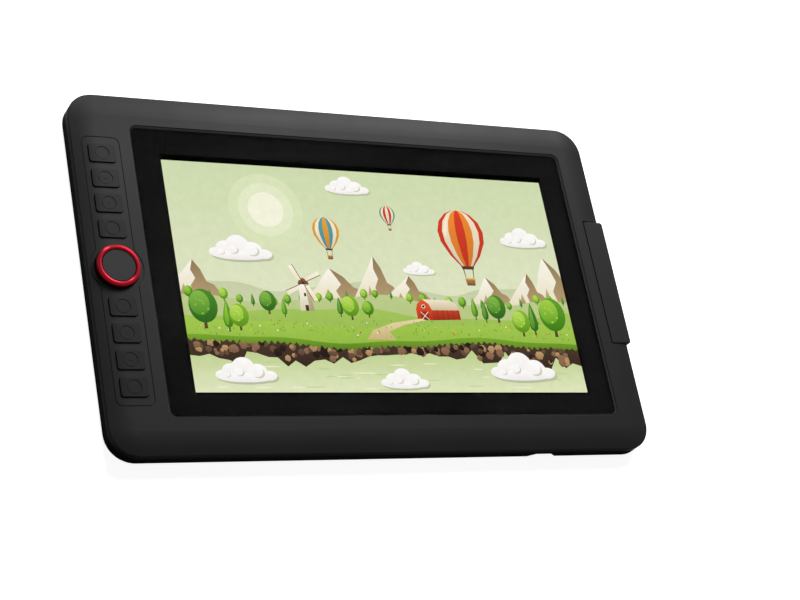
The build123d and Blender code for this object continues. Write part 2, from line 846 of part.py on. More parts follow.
def key_cap(index, y):
    """A key: a crowned cap with a round dimple, held under the frame by its flange."""
    cap = slab(key_width, key_depth, key_round, key_flange_bottom, face_z + overrun, strip_x, y)
    cap &= Pos(0, 0, key_rise) * crowned_form(0, cover_bottom, face_z)
    cap = fillet([edge for edge in cap_top_edges(cap) if on_rim(edge, y)], key_edge_round)
    dimple = rod(dimple_radius, roof_z, face_z + overrun, strip_x, y)
    floor = Pos(0, 0, key_rise - dimple_depth) * crowned_form(0, cover_bottom, face_z)
    cap -= dimple - floor
    line = rod(dimple_radius, roof_z, face_z + overrun, strip_x, y)
    line -= rod(dimple_radius - dimple_line_width, roof_z, face_z + overrun, strip_x, y)
    cap -= line - Pos(0, 0, key_rise - dimple_line_depth) * crowned_form(0, cover_bottom, face_z)
    mark = key_mark(index, y)
    if mark:
        raised = Pos(0, 0, key_rise - dimple_depth + mark_rise) * crowned_form(0, cover_bottom, face_z)
        cap += mark & raised
    flange_size = (key_width + 2 * key_flange_reach, key_depth + 2 * key_flange_reach)
    radius = key_round + key_flange_reach
    cap += slab(*flange_size, radius, key_flange_bottom, key_flange_top, strip_x, y)
    return cap + rod(key_post_radius, key_post_bottom, key_flange_bottom, strip_x, y)


def cap_top_edges(cap):
    """The edges of a cap's crowned top."""
    top_faces = [face for face in cap.faces() if face.normal_at().Z > normal_share]
    edges = ShapeList()
    for face in top_faces:
        edges += face.edges()
    return edges


def on_rim(edge, y):
    """Whether an edge of a cap lies on its outline, and not across its top."""
    middle = edge.center()
    across = abs(middle.X - strip_x) > key_width / 2 - key_round
    along = abs(middle.Y - y) > key_depth / 2 - key_round
    return across or along


def key_mark(index, y):
    """The raised mark in a dimple, felt by the finger: a bar, a dot or nothing."""
    from_end = min(index, 2 * keys_per_side - 1 - index)
    if from_end == 1:
        bar = SlotOverall(mark_bar_length, mark_bar_width)
        return extrude(Pos(strip_x, y, roof_z) * bar, frame_roof + overrun)
    if from_end == 2:
        return rod(mark_dot_radius, roof_z, face_z + overrun, strip_x, y)
    return None


def dial_ring():
    """The metal ring of the dial: a straight skirt that rounds over a crest and drops to the button."""
    crest = (dial_crest_radius, dial_z)
    shoulder = (dial_radius, dial_z - dial_rise + dial_shoulder)
    inner = (dial_inner_radius, dial_z - dial_inner_drop)
    outer_curve = ThreePointArc(crest, between(crest, shoulder), shoulder)
    inner_curve = ThreePointArc(inner, between(crest, inner), crest)
    walls = Polyline(shoulder, (dial_radius, ring_bottom), (dial_inner_radius, ring_bottom), inner)
    section = make_face(outer_curve + walls + inner_curve)
    return Pos(strip_x, strip_y, 0) * revolve(Plane.XZ * section, Axis.Z)


def between(crest, foot):
    """A point of the quarter ellipse that is level at the crest and upright at its foot."""
    x = crest[0] + (foot[0] - crest[0]) * sin(pi / 4)
    z = foot[1] + (crest[1] - foot[1]) * cos(pi / 4)
    return (x, z)


def dial_carrier():
    """The plastic carrier under the ring, which turns on the hub and is held under the frame."""
    x, y = strip_x, strip_y
    carrier = rod(dial_radius, carrier_bottom, ring_bottom, x, y)
    carrier += rod(carrier_radius, carrier_bottom, carrier_flange_top, x, y)
    return carrier - rod(hub_radius + running_gap, carrier_bottom, ring_bottom, x, y)


def encoder_disc():
    """The slotted disc under the carrier."""
    disc = rod(encoder_outer_radius, encoder_bottom, carrier_bottom)
    disc -= rod(encoder_inner_radius, encoder_bottom, carrier_bottom)
    reach = encoder_outer_radius - encoder_rim - encoder_slot_length / 2
    slot = Pos(reach, 0, encoder_bottom) * Box(
        encoder_slot_length,
        encoder_slot_width,
        encoder_thick,
        align=(Align.CENTER, Align.CENTER, Align.MIN),
    )
    for index in range(encoder_slots):
        disc -= Rot(0, 0, index * 360 / encoder_slots) * slot
    return Pos(strip_x, strip_y, 0) * disc


def encoder_sensor():
    """The reader under the slots of the disc."""
    reach = encoder_outer_radius - encoder_rim - encoder_slot_length / 2
    top = encoder_bottom - sensor_gap
    x = strip_x + reach / sqrt(2)
    y = strip_y - reach / sqrt(2)
    return slab(sensor_width, sensor_length, 0, key_board_top, top, x, y)


def dial_hub():
    """The fixed hub on the board: the carrier turns on it and the button's stem slides in it."""
    x, y = strip_x, strip_y
    hub = rod(hub_radius, key_board_top, hub_top, x, y)
    hub += rod(hub_flange_radius, key_board_top, carrier_bottom - hub_clear, x, y)
    hub -= rod(stem_radius + running_gap, key_board_top, hub_top, x, y)
    return hub - rod(stem_radius + clip_reach + chamber_wall, key_board_top, chamber_top, x, y)


def dial_button():
    """The round button in the dial, on a stem."""
    x, y = strip_x, strip_y
    cap = rod(dial_inner_radius - button_gap, button_bottom, button_top, x, y)
    cap = fillet(cap.edges().group_by(Axis.Z)[-1], button_edge_round)
    stem = rod(stem_radius, stem_bottom, button_bottom, x, y)
    groove = rod(stem_radius, clip_bottom, clip_bottom + clip_thick, x, y)
    groove -= rod(stem_radius - clip_groove, clip_bottom, clip_bottom + clip_thick, x, y)
    return cap + (stem - groove)


def button_clip():
    """The ring in the stem's groove that keeps the button in."""
    clip = rod(stem_radius + clip_reach, clip_bottom, clip_bottom + clip_thick, strip_x, strip_y)
    return clip - rod(stem_radius - clip_groove, clip_bottom, clip_bottom + clip_thick, strip_x, strip_y)


def dial_switch():
    """The low switch under the stem of the dial's button."""
    return slab(dial_switch_size, dial_switch_size, 0, key_board_top, dial_switch_top, strip_x, strip_y)


def power_button():
    """The power button: a rounded bar through the side wall, with a flange behind it and a stem."""
    left = power_flange_left
    button = side_rod(power_outline(0), left, right_wall + power_out, power_y, power_z)
    button += side_rod(power_outline(power_flange_reach), left, power_flange_right, power_y, power_z)
    stem_end = power_switch_right() + power_travel + switch_slack
    stem = Circle(power_stem_radius)
    return button + side_rod(stem, stem_end, left, power_y, power_z)


def power_switch_right():
    """The tip of the power switch."""
    return board_left + board_width + power_switch_nub


def power_switch():
    """The side-facing switch on the edge of the main board."""
    right = board_left + board_width
    y_range = (power_y - power_switch_width / 2, power_y + power_switch_width / 2)
    body = block((right - power_switch_depth, right), y_range, (board_top, power_z + power_height / 2))
    nub = side_rod(Circle(power_switch_nub_radius), right, right + power_switch_nub, power_y, power_z)
    return body + nub


def rubber_foot(x, y):
    """A rubber foot, set in its pocket."""
    foot = slab(foot_length, foot_width, foot_width / 2 - seat_gap, 0, cover_bottom + foot_sink, x, y)
    return fillet(foot.edges().group_by(Axis.Z)[0], foot_edge_round)


def cover_screw(x, y):
    """A pan-head screw that joins the cover to the frame."""
    head_bottom = cover_bottom + screw_head_sink
    head_top = head_bottom + screw_head_height
    head = rod(screw_head_radius, head_bottom, head_top, x, y)
    head = fillet(head.edges().group_by(Axis.Z)[0], screw_head_sink)
    return head + rod(screw_radius, head_top, head_top + screw_length, x, y)


def small_screw(x, y, seat, length):
    """A small screw, driven up from below against a seat."""
    head = rod(small_head_radius, seat - small_head_height, seat, x, y)
    return head + rod(small_screw_radius, seat, seat + length, x, y)


def build():
    """Every node of the part, by name."""
    nodes = {
        "front_frame": front_frame(),
        "back_cover": back_cover(),
        "screen_glass": screen_glass(),
        "screen_mask": screen_mask(),
        "lcd_panel": lcd_panel(),
        "backlight_unit": backlight_unit(),
        "digitizer_board": digitizer_board(),
        "chassis_plate": chassis_plate(),
        "panel_flex": panel_flex(),
        "key_flex": key_flex(),
        "main_board": main_board(),
        "board_shield": board_shield(),
        "board_chips": board_chips(),
        "usb_socket": usb_socket(),
        "plug_connector": plug_connector(),
        "plug_cover": plug_cover(),
        "plug_base": plug_base(),
        "key_board": key_board(),
        "dial_ring": dial_ring(),
        "dial_carrier": dial_carrier(),
        "encoder_disc": encoder_disc(),
        "encoder_sensor": encoder_sensor(),
        "dial_hub": dial_hub(),
        "dial_button": dial_button(),
        "button_clip": button_clip(),
        "dial_switch": dial_switch(),
        "power_button": power_button(),
        "power_switch": power_switch(),
    }
    for index, y in enumerate(key_places()):
        nodes[f"key_{index + 1}"] = key_cap(index, y)
    nodes["key_switches"] = Compound([key_switch(y) for y in key_places()])
    for index, (x, y) in enumerate(foot_places()):
        nodes[f"foot_{index + 1}"] = rubber_foot(x, y)
    nodes["cover_screws"] = Compound([cover_screw(x, y) for x, y in post_places()])
    screws = [small_screw(x, y, chassis_z, small_screw_length) for x, y in ear_places()]
    nodes["chassis_screws"] = Compound(screws)
    screws = [small_screw(x, y, board_z, chassis_top - board_z) for x, y in board_boss_places()]
    nodes["board_screws"] = Compound(screws)
    screws = [small_screw(x, y, key_board_z, small_screw_length) for x, y in key_boss_places()]
    nodes["key_board_screws"] = Compound(screws)
    return nodes


os.makedirs("parts", exist_ok=True)
to_origin = Pos(-housing_out / 2, 0, 0)
for name, shape in build().items():
    export_step(to_origin * shape, f"parts/{name}.step")
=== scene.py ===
"""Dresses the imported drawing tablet: plastics, glass, metal and the picture on its screen, in soft light."""

import json
from math import cos, pi, sin
from random import Random

import bmesh
import bpy
from mathutils import Matrix, Vector
from mathutils.geometry import delaunay_2d_cdt


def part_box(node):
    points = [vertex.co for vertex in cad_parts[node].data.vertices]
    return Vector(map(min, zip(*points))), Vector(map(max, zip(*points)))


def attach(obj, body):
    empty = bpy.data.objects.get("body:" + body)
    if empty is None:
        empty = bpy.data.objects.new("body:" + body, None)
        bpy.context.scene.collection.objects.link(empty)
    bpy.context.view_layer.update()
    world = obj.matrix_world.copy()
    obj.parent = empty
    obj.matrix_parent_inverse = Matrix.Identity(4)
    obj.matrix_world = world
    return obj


MM = 0.001

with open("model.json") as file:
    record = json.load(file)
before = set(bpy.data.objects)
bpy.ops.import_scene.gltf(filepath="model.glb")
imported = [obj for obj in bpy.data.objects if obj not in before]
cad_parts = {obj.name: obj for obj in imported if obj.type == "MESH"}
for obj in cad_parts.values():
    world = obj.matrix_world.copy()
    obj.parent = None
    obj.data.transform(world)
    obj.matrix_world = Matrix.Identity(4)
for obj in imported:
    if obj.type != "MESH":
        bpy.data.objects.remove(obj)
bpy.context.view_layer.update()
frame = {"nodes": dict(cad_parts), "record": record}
nodes = frame["nodes"]

# Camera: its place from the middle of the picture, and its own right and upward directions
CAMERA_FROM_PICTURE = Vector((-0.60098, -0.50394, 1.02627))
CAMERA_RIGHT = Vector((0.87991, -0.18035, 0.43958))
CAMERA_UP = Vector((-0.02311, 0.90782, 0.41872))
CAMERA_LENS = 85.77
CAMERA_SENSOR = 36.0

# The picture on the display
PICTURE_WIDTH = 293.76 * MM
PICTURE_HEIGHT = 165.24 * MM
PICTURE_LIFT = 0.03 * MM

# The polished bevel, on the lower part of the window's sloping wall, glossier than the frame and lighter as a
# painted highlight
WINDOW_WIDTH = 331.6 * MM
WINDOW_DEPTH = 204.0 * MM
WINDOW_ROUND = 4.4 * MM
WINDOW_MIDDLE = Vector((7.45, 1.3, 0)) * MM
LIP_OUT = 0.85 * MM
LIP_DROP = 1.275 * MM
LIP_HAIR = 0.04 * MM
LIP_TOP = 14.475 * MM

# The dial's ring: its fine grain, its gloss, and how far that is stretched and turned across the turning
RING_GRAIN = 1400.0
RING_GRAIN_DEPTH = 0.002 * MM
RING_ROUGH = 0.4
RING_COAT_ROUGH = 0.25
RING_STRETCH = 0.9
RING_STRETCH_TURN = 0.25

# The same ring, down from its top: painted shade below the first depth, the ring's own crimson above the
# second
PAINTED_SHADE_BELOW = 2.5 * MM
CREST_BRIGHT_ABOVE = 0.9 * MM
SKIRT_PAINTED_SHADE = (0.014, 0.0002, 0.0008)
CREST_COLOUR = (0.2, 0.002, 0.009)
CREST_COAT = 0.1

# The cover glass: almost no reflection, and a slightly uneven gloss
GLASS_INDEX = 1.01
GLASS_ROUGH_LOW = 0.12
GLASS_ROUGH_HIGH = 0.16

# The fill that the world gives, the floor's shades and glow, its half width and its gap below the feet
WORLD_FILL = 0.1
FLOOR_DULL = 0.1
FLOOR_MATTE = 0.6
FLOOR_GLOW = 0.9
FLOOR_REACH = 12.0
FLOOR_SINK = 0.1 * MM

cell_low, cell_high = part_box("lcd_panel")
PICTURE_MIDDLE = Vector(((cell_low.x + cell_high.x) / 2, (cell_low.y + cell_high.y) / 2, cell_high.z))


def add_object(name, data):
    """A new object in the scene."""
    made = bpy.data.objects.new(name, data)
    bpy.context.scene.collection.objects.link(made)
    return made


def make_camera():
    """The camera at the photograph's angle, placed from the screen."""
    data = bpy.data.cameras.new("camera")
    data.lens = CAMERA_LENS
    data.sensor_width = CAMERA_SENSOR
    camera = add_object("camera", data)
    back = CAMERA_RIGHT.cross(CAMERA_UP)
    axes = Matrix((CAMERA_RIGHT, CAMERA_UP, back)).transposed().to_4x4()
    camera.matrix_world = Matrix.Translation(PICTURE_MIDDLE + CAMERA_FROM_PICTURE) @ axes
    bpy.context.scene.camera = camera


make_camera()
bpy.context.scene.view_settings.view_transform = "Standard"


class Shading:
    """A material's node tree, with one short call for each kind of node."""

    def __init__(self, name):
        self.material = bpy.data.materials.new(name)
        self.material.use_nodes = True
        self.tree = self.material.node_tree
        self.tree.nodes.clear()
        self.output = self.node("ShaderNodeOutputMaterial")

    def node(self, kind, **values):
        """A node with its settings, or its socket values where the name is a socket's."""
        return add_node(self.tree, kind, **values)

    def link(self, source, target):
        """A link from an output to an input."""
        self.tree.links.new(source, target)

    def surface(self, shader):
        """The shader that the surface shows."""
        self.link(shader, self.output.inputs["Surface"])


def add_node(tree, kind, **values):
    """A shader node; each value is a setting of the node or the name of one of its sockets."""
    made = tree.nodes.new(kind)
    for name, value in values.items():
        socket = made.inputs.get(name.replace("_", " "))
        if hasattr(made, name) and socket is None:
            setattr(made, name, value)
        else:
            socket.default_value = value
    return made


# How much the pits add to the height of the grain
PITS_SHARE = 0.5


def grain_group():
    """Moulded grain: a height for the bump and a slow mottle for colour and gloss."""
    tree = bpy.data.node_groups.new("moulded_grain", "ShaderNodeTree")
    for name, value in (("Grain Scale", 2600.0), ("Mottle Scale", 14.0)):
        socket = tree.interface.new_socket(name, in_out="INPUT", socket_type="NodeSocketFloat")
        socket.default_value = value
    tree.interface.new_socket("Height", in_out="OUTPUT", socket_type="NodeSocketFloat")
    tree.interface.new_socket("Mottle", in_out="OUTPUT", socket_type="NodeSocketFloat")
    entry = add_node(tree, "NodeGroupInput")
    place = add_node(tree, "ShaderNodeTexCoord")
    fine = add_node(tree, "ShaderNodeTexNoise", Detail=2.0, Roughness=0.6)
    pits = add_node(tree, "ShaderNodeTexVoronoi", feature="F1")
    slow = add_node(tree, "ShaderNodeTexNoise", Detail=3.0, Roughness=0.55)
    mixed = add_node(tree, "ShaderNodeMath", operation="MULTIPLY_ADD")
    mixed.inputs[1].default_value = PITS_SHARE
    leave = add_node(tree, "NodeGroupOutput")
    for texture in (fine, pits):
        tree.links.new(entry.outputs["Grain Scale"], texture.inputs["Scale"])
    tree.links.new(entry.outputs["Mottle Scale"], slow.inputs["Scale"])
    for texture in (fine, pits, slow):
        tree.links.new(place.outputs["Object"], texture.inputs["Vector"])
    tree.links.new(pits.outputs["Distance"], mixed.inputs[0])
    tree.links.new(fine.outputs["Fac"], mixed.inputs[2])
    tree.links.new(mixed.outputs["Value"], leave.inputs["Height"])
    tree.links.new(slow.outputs["Fac"], leave.inputs["Mottle"])
    return tree


GRAIN = grain_group()

# The part of the mottle's noise that is stretched
MOTTLE_LOW = 0.3
MOTTLE_HIGH = 0.7

# Places of the colour sockets of a Mix node, which share their names with its number sockets
MIX_FIRST = 6
MIX_SECOND = 7
MIX_RESULT = 2

# How strongly the grain shows, and how far the roughness strays to each side
PLASTIC_TOOTH = 0.35
PLASTIC_STRAY = 0.03
METAL_TOOTH = 0.2
METAL_STRAY = 0.02


def spread_value(shading, source, low, high):
    """The middle of a mottle, stretched between two values."""
    spread = shading.node("ShaderNodeMapRange")
    spread.inputs["To Min"].default_value = low
    spread.inputs["To Max"].default_value = high
    spread.inputs["From Min"].default_value = MOTTLE_LOW
    spread.inputs["From Max"].default_value = MOTTLE_HIGH
    shading.link(source, spread.inputs["Value"])
    return spread.outputs["Result"]


def blend_colour(shading, source, dark, light):
    """Two colours mixed by a mask."""
    mix = shading.node("ShaderNodeMix", data_type="RGBA")
    mix.inputs[MIX_FIRST].default_value = (*dark, 1)
    mix.inputs[MIX_SECOND].default_value = (*light, 1)
    shading.link(source, mix.inputs["Factor"])
    return mix.outputs[MIX_RESULT]


def grained(name, grain_scale, grain_depth, tooth, **values):
    """The start of a material: its shader, with a bump from the grain, and the grain's slow mottle."""
    shading = Shading(name)
    grain = shading.node("ShaderNodeGroup", node_tree=GRAIN)
    grain.inputs["Grain Scale"].default_value = grain_scale
    shader = shading.node("ShaderNodeBsdfPrincipled", **values)
    bump = shading.node("ShaderNodeBump", Strength=tooth, Distance=grain_depth)
    shading.link(grain.outputs["Height"], bump.inputs["Height"])
    shading.link(bump.outputs["Normal"], shader.inputs["Normal"])
    shading.surface(shader.outputs["BSDF"])
    return shading, shader, grain.outputs["Mottle"]


def mottled(shading, shader, mottle, dark, light, rough, stray):
    """A slow mottle in the colour and the gloss of a material."""
    shading.link(blend_colour(shading, mottle, dark, light), shader.inputs["Base Color"])
    shading.link(spread_value(shading, mottle, rough - stray, rough + stray), shader.inputs["Roughness"])


def moulded_plastic(name, dark, light, rough, specular, grain_scale, grain_depth):
    """Fine-grained moulded plastic with a slow mottle in colour and gloss."""
    shading, shader, mottle = grained(name, grain_scale, grain_depth, PLASTIC_TOOTH)
    shader.inputs["Specular IOR Level"].default_value = specular
    mottled(shading, shader, mottle, dark, light, rough, PLASTIC_STRAY)
    return shading.material


def metal(name, dark, light, rough, grain_scale, grain_depth):
    """Metal with a faint tooth and a slow mottle in colour and gloss."""
    shading, shader, mottle = grained(name, grain_scale, grain_depth, METAL_TOOTH, Metallic=1.0)
    mottled(shading, shader, mottle, dark, light, rough, METAL_STRAY)
    return shading.material


def turned_crimson(name, ring_top):
    """Turned, crimson-anodised metal: a bright crest, a gloss that fans across the turning, and a skirt
    darkened with painted shade.
    """
    shading, shader, _ = grained(name, RING_GRAIN, RING_GRAIN_DEPTH, METAL_TOOTH, Metallic=1.0)
    shader.inputs["Roughness"].default_value = RING_ROUGH
    shader.inputs["Anisotropic"].default_value = RING_STRETCH
    shader.inputs["Anisotropic Rotation"].default_value = RING_STRETCH_TURN
    shader.inputs["Coat Roughness"].default_value = RING_COAT_ROUGH
    place = shading.node("ShaderNodeTexCoord")
    height = shading.node("ShaderNodeSeparateXYZ")
    # A mask by height: 0 on the skirt, where shade is painted, 1 on the crest
    crest = shading.node("ShaderNodeMapRange", interpolation_type="SMOOTHSTEP")
    crest.inputs["From Min"].default_value = ring_top - PAINTED_SHADE_BELOW
    crest.inputs["From Max"].default_value = ring_top - CREST_BRIGHT_ABOVE
    shading.link(place.outputs["Object"], height.inputs["Vector"])
    shading.link(height.outputs["Z"], crest.inputs["Value"])
    # The coat follows the same mask, so the skirt's painted shade takes no white gloss
    coat = shading.node("ShaderNodeMath", operation="MULTIPLY")
    coat.inputs[1].default_value = CREST_COAT
    shading.link(crest.outputs["Result"], coat.inputs[0])
    shading.link(coat.outputs["Value"], shader.inputs["Coat Weight"])
    # The skirt's dark colour is painted shade, blended by height into the crest's own crimson
    colour = blend_colour(shading, crest.outputs["Result"], SKIRT_PAINTED_SHADE, CREST_COLOUR)
    shading.link(colour, shader.inputs["Base Color"])
    return shading.material


def cover_glass(name):
    """Low-reflection glass, whose etched tooth makes its gloss slightly uneven."""
    shading = Shading(name)
    grain = shading.node("ShaderNodeGroup", node_tree=GRAIN)
    shader = shading.node("ShaderNodeBsdfPrincipled", Metallic=0.0, IOR=GLASS_INDEX)
    shader.inputs["Base Color"].default_value = (1, 1, 1, 1)
    shader.inputs["Transmission Weight"].default_value = 1.0
    rough = spread_value(shading, grain.outputs["Mottle"], GLASS_ROUGH_LOW, GLASS_ROUGH_HIGH)
    shading.link(rough, shader.inputs["Roughness"])
    shading.surface(shader.outputs["BSDF"])
    return shading.material


def grey(value):
    """A neutral colour."""
    return (value, value, value)


# Dark colour, light colour, roughness, specular level, grain scale, grain depth
PLASTICS = {
    # The lip's colour, lighter than the frame's, is a painted highlight; its gloss is its own
    "lip_plastic": (grey(0.012), grey(0.014), 0.3, 0.3, 2600.0, 0.01 * MM),
    "frame_plastic": (grey(0.004), grey(0.006), 0.46, 0.08, 2600.0, 0.02 * MM),
    "cover_plastic": (grey(0.003), grey(0.004), 0.6, 0.03, 2200.0, 0.03 * MM),
    "key_plastic": (grey(0.0035), grey(0.005), 0.45, 0.065, 2800.0, 0.02 * MM),
    "plug_plastic": (grey(0.005), grey(0.007), 0.46, 0.08, 2600.0, 0.02 * MM),
    "button_plastic": (grey(0.01), grey(0.012), 0.5, 0.09, 3200.0, 0.01 * MM),
    "dial_plastic": (grey(0.004), grey(0.005), 0.5, 0.1, 2600.0, 0.02 * MM),
    "mask_ink": (grey(0.0046), grey(0.005), 0.6, 0.0, 3000.0, 0.01 * MM),
    "cell_black": (grey(0.0005), grey(0.0006), 0.6, 0.0, 3000.0, 0.01 * MM),
    "light_guide": (grey(0.75), grey(0.8), 0.3, 0.5, 900.0, 0.01 * MM),
    "sensor_laminate": ((0.02, 0.045, 0.03), (0.025, 0.055, 0.035), 0.4, 0.4, 1800.0, 0.01 * MM),
    "board_lacquer": ((0.012, 0.09, 0.035), (0.018, 0.12, 0.05), 0.3, 0.5, 1200.0, 0.02 * MM),
    "chip_plastic": (grey(0.012), grey(0.016), 0.5, 0.3, 2600.0, 0.02 * MM),
    "foot_rubber": (grey(0.016), grey(0.022), 0.85, 0.15, 1500.0, 0.06 * MM),
    "flex_film": ((0.4, 0.18, 0.03), (0.45, 0.22, 0.04), 0.3, 0.5, 1200.0, 0.01 * MM),
}

# Dark colour, light colour, roughness, grain scale, grain depth
METALS = {
    "chassis_metal": ((0.6, 0.61, 0.62), (0.68, 0.69, 0.7), 0.35, 900.0, 0.02 * MM),
    "plated_metal": ((0.5, 0.5, 0.51), (0.6, 0.6, 0.61), 0.28, 900.0, 0.01 * MM),
    "dark_steel": ((0.1, 0.1, 0.105), (0.14, 0.14, 0.145), 0.35, 1400.0, 0.02 * MM),
}

FINISHES = {name: moulded_plastic(name, *values) for name, values in PLASTICS.items()}
FINISHES.update({name: metal(name, *values) for name, values in METALS.items()})
FINISHES["dial_metal"] = turned_crimson("dial_metal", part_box("dial_ring")[1].z)
FINISHES["low_glare_glass"] = cover_glass("low_glare_glass")

# The finish of each slot that has another name than its finish
SLOT_FINISHES = {
    "screen_glass": "low_glare_glass",
    "display_cell": "cell_black",
    "circuit_board": "board_lacquer",
    "shield_metal": "plated_metal",
    "connector_metal": "plated_metal",
    "screw_steel": "dark_steel",
}


def finish_nodes():
    """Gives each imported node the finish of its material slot."""
    for part in frame["record"]["subparts"]:
        slot = part["material_slot"]
        mesh = nodes[part["node"]].data
        mesh.materials.clear()
        mesh.materials.append(FINISHES[SLOT_FINISHES.get(slot, slot)])


finish_nodes()

# The cut of the painting keeps what lies in the shapes, and joins points closer than this in millimetres
CUT_INSIDE = 1
CUT_CLOSE = 0.0005


class Painting:
    """Flat coloured shapes laid one over another, then cut into one plane with no overlaps."""

    def __init__(self, width, height):
        self.points = []
        self.shapes = []
        self.colours = []
        self.width = width
        self.height = height

    def paint(self, outline, low_colour, high_colour=None):
        """A shape in millimetres, with a colour at its lowest point and one at its highest."""
        area = sum(a[0] * b[1] - b[0] * a[1] for a, b in zip(outline, outline[1:] + outline[:1]))
        if area < 0:
            outline = outline[::-1]
        start = len(self.points)
        self.points.extend(Vector(point) for point in outline)
        self.shapes.append(list(range(start, len(self.points))))
        heights = [point[1] for point in outline]
        self.colours.append((min(heights), max(heights), low_colour, high_colour or low_colour))

    def colour_at(self, shape, height):
        """A shape's colour at a height."""
        low, high, low_colour, high_colour = self.colours[shape]
        share = min(max((height - low) / max(high - low, 0.01), 0), 1)
        return [a + (b - a) * share for a, b in zip(low_colour, high_colour)] + [1.0]

    def mesh(self, name):
        """The plane, with the colours on the corners of its faces."""
        cut = delaunay_2d_cdt(self.points, [], self.shapes, CUT_INSIDE, CUT_CLOSE)
        points, _, faces, _, _, sources = cut
        inside = [(face, max(source)) for face, source in zip(faces, sources) if 0 in source]
        flat = bpy.data.meshes.new(name)
        scaled = [((p.x - self.width / 2) * MM, (p.y - self.height / 2) * MM, 0) for p in points]
        flat.from_pydata(scaled, [], [face for face, _ in inside])
        paint = flat.color_attributes.new("paint", "FLOAT_COLOR", "CORNER")
        for polygon, (face, shape) in zip(flat.polygons, inside):
            for corner, point in zip(polygon.loop_indices, face):
                paint.data[corner].color = self.colour_at(shape, points[point].y)
        return flat


def srgb(text):
    """A colour written as six hexadecimal digits, made linear."""
    values = [int(text[index : index + 2], 16) / 255 for index in (0, 2, 4)]
    return [value / 12.92 if value < 0.04045 else ((value + 0.055) / 1.055) ** 2.4 for value in values]


# The brush mottle over the painted colours: its scale, and its darkest and lightest shade
BRUSH_SCALE = 160.0
BRUSH_DARK = 0.97
BRUSH_LIGHT = 1.03


def display_light():
    """The lit picture: the painted colours with a faint brush mottle."""
    shading = Shading("lit_picture")
    paint = shading.node("ShaderNodeVertexColor", layer_name="paint")
    grain = shading.node("ShaderNodeGroup", node_tree=GRAIN)
    grain.inputs["Mottle Scale"].default_value = BRUSH_SCALE
    tint = shading.node("ShaderNodeMix", data_type="RGBA", blend_type="MULTIPLY")
    tint.inputs["Factor"].default_value = 1.0
    shade = spread_value(shading, grain.outputs["Mottle"], BRUSH_DARK, BRUSH_LIGHT)
    shading.link(paint.outputs["Color"], tint.inputs[MIX_FIRST])
    shading.link(shade, tint.inputs[MIX_SECOND])
    shader = shading.node("ShaderNodeBsdfPrincipled", Roughness=0.6)
    shader.inputs["Base Color"].default_value = (0.0, 0.0, 0.0, 1)
    shader.inputs["Specular IOR Level"].default_value = 0.0
    shader.inputs["Emission Strength"].default_value = 1.0
    shading.link(tint.outputs[MIX_RESULT], shader.inputs["Emission Color"])
    shading.surface(shader.outputs["BSDF"])
    return shading.material


# The seed of every chance in the picture, and how many of each small thing it has
PICTURE_SEED = 11
SPECKS = 260
FAR_TREES = 26
BLADES = 230
FLOWERS = 36
RIPPLES = 34
BANK_STONES = 150

# How finely the lines of the land and the river bank are drawn
LAND_STEPS = 60
BANK_STEPS = 44

# Lines of the land: height, swell, length of a wave and where the wave starts
HAZE_HILLS = (76, 3.5, 120, 0.9)
FAR_HILLS = (67, 3.2, 160, 2.4)
FAR_TREES_FOOT = (64, 3.2, 160, 2.4)
FIELD = (57, 3.5, 210, 4.6)
NEAR_FIELD = (49, 2.4, 240, 1.4)
BANK_TOP = (37, 2.2, 190, 0.8)

# Dark, middle and light green of each kind of leaf
GREENS = (
    ("3f7a1c", "62a32a", "a3cf48"),
    ("2f6420", "4c8a2c", "86b84a"),
    ("5a8f22", "86bb34", "bcdc5e"),
)

# Low and high colour of each kind of stone in the bank
STONES = (("5b4535", "6e5542"), ("7b5d45", "937053"), ("a07c57", "bf9a6c"), ("241b17", "33261f"))

BARK = "5c4330"


def rolling(x, base, swell, length, phase):
    """The height of a rolling line of the land at a place."""
    wave = sin(2 * pi * x / length + phase) + 0.35 * sin(5.3 * pi * x / length + 2.1 * phase)
    return base + swell * wave


def land(painting, line, low, high):
    """Rolling land across the whole picture, from its line down."""
    outline = []
    for index in range(LAND_STEPS + 1):
        x = painting.width * index / LAND_STEPS
        outline.append((x, rolling(x, *line)))
    painting.paint(outline + [(painting.width, -1), (0, -1)], srgb(low), srgb(high))


def round_shape(x, y, radius_x, radius_y, sides):
    """The outline of an ellipse."""
    turns = [2 * pi * index / sides for index in range(sides)]
    return [(x + radius_x * cos(turn), y + radius_y * sin(turn)) for turn in turns]


def placed(outline, x, y, size, turn=0.0):
    """An outline drawn round 0, 0, made larger, turned and moved."""
    wide, high = size * cos(turn), size * sin(turn)
    return [(x + a * wide - b * high, y + a * high + b * wide) for a, b in outline]


def sun(painting, x, y):
    """A pale sun with two rings of haze."""
    for radius, colour in ((27, "d9e3ba"), (20, "e2e9c6"), (13, "f2f3da")):
        painting.paint(round_shape(x, y, radius, radius, 32), srgb(colour))


def cloud(painting, x, y, size):
    """A heaped cloud: a grey-green shade below, white heaps, and three curls in a paler shade."""
    heaps = [(-17, 0, 5, 3.4), (-10, 2.5, 7, 6), (-1, 5, 8.5, 8)]
    heaps += [(9, 2, 7.5, 6.2), (17, -0.5, 6, 3.6), (0, -2, 20, 3.4)]
    for down, right, low, high in ((-1.6, 1.2, "b5bd9c", "c3caa9"), (0, 0, "efeaea", "fdfbf8")):
        for a, b, wide, tall in heaps:
            heap_x, heap_y = x + (a + right) * size, y + (b + down) * size
            heap = round_shape(heap_x, heap_y, wide * size, tall * size, 22)
            painting.paint(heap, srgb(low), srgb(high))
    for a, b, wide in ((9.6, 1.2, 4.6), (-4, 1.6, 3.4), (-13, -0.2, 2.2)):
        curl = round_shape(x + a * size, y + b * size, wide * size, wide * 0.8 * size, 22)
        painting.paint(curl, srgb("cfd2bf"))
        lit_x, lit_y = x + (a - 0.3 * wide) * size, y + (b + 0.24 * wide) * size
        lit = round_shape(lit_x, lit_y, wide * 1.04 * size, wide * 0.82 * size, 22)
        painting.paint(lit, srgb("f6f3f1"), srgb("fcfaf7"))


